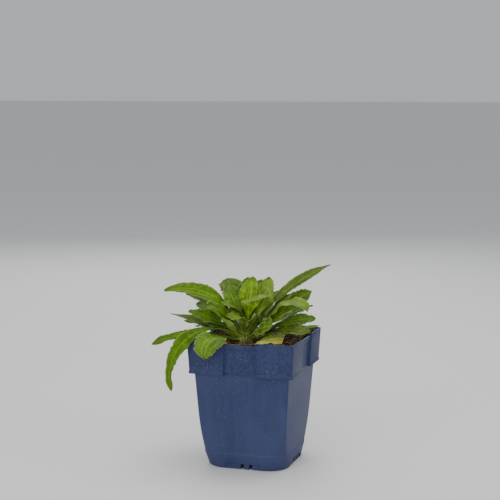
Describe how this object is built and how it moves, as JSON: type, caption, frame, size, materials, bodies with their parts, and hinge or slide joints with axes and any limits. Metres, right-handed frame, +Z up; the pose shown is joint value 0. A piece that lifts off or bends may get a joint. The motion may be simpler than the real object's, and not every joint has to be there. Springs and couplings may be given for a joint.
{
  "type": "potted blanket flower",
  "caption": "Leafy blanket flower rosette rooted in potting soil in a square tapered nursery pot with a stepped collar.",
  "frame": {"origin": "middle of the pot's flat base, on the surface it stands on", "axes": "+Z up, +X to the plant's right, -Y to its front, both square to the pot's sides"},
  "size_m": [0.1377, 0.113, 0.1665],
  "materials": {
    "pot_blue": "semi-matt moulded polypropylene, lightly scuffed",
    "potting_soil": "damp peaty potting mix with pale fibres",
    "crown": "short fibrous crown",
    "outer_leaf": "softly hairy mid-green leaf",
    "middle_leaf": "softly hairy green leaf",
    "inner_leaf": "softly hairy bright green young leaf",
    "heart_leaf": "pale downy youngest leaf",
    "old_leaf": "yellowed shed leaf"
  },
  "bodies": {
    "root": {"crown": "crown", "heart_leaf_01": "heart_leaf", "heart_leaf_02": "heart_leaf", "heart_leaf_03": "heart_leaf", "inner_leaf_01": "inner_leaf", "inner_leaf_02": "inner_leaf", "inner_leaf_03": "inner_leaf", "inner_leaf_04": "inner_leaf", "inner_leaf_05": "inner_leaf", "inner_leaf_06": "inner_leaf", "inner_leaf_07": "inner_leaf", "inner_leaf_08": "inner_leaf", "inner_leaf_09": "inner_leaf", "inner_leaf_10": "inner_leaf", "inner_leaf_11": "inner_leaf", "inner_leaf_12": "inner_leaf", "middle_leaf_01": "middle_leaf", "middle_leaf_02": "middle_leaf", "middle_leaf_03": "middle_leaf", "middle_leaf_04": "middle_leaf", "middle_leaf_05": "middle_leaf", "middle_leaf_06": "middle_leaf", "middle_leaf_07": "middle_leaf", "middle_leaf_08": "middle_leaf", "middle_leaf_09": "middle_leaf", "middle_leaf_10": "middle_leaf", "middle_leaf_11": "middle_leaf", "middle_leaf_12": "middle_leaf", "middle_leaf_13": "middle_leaf", "middle_leaf_14": "middle_leaf", "middle_leaf_15": "middle_leaf", "middle_leaf_16": "middle_leaf", "old_yellow_leaf": "old_leaf", "outer_leaf_01": "outer_leaf", "outer_leaf_02": "outer_leaf", "outer_leaf_03": "outer_leaf", "outer_leaf_04": "outer_leaf", "outer_leaf_05": "outer_leaf", "outer_leaf_06": "outer_leaf", "outer_leaf_07": "outer_leaf", "outer_leaf_08": "outer_leaf", "outer_leaf_09": "outer_leaf", "pot": "pot_blue", "potting_soil": "potting_soil"}
  },
  "joints": []
}
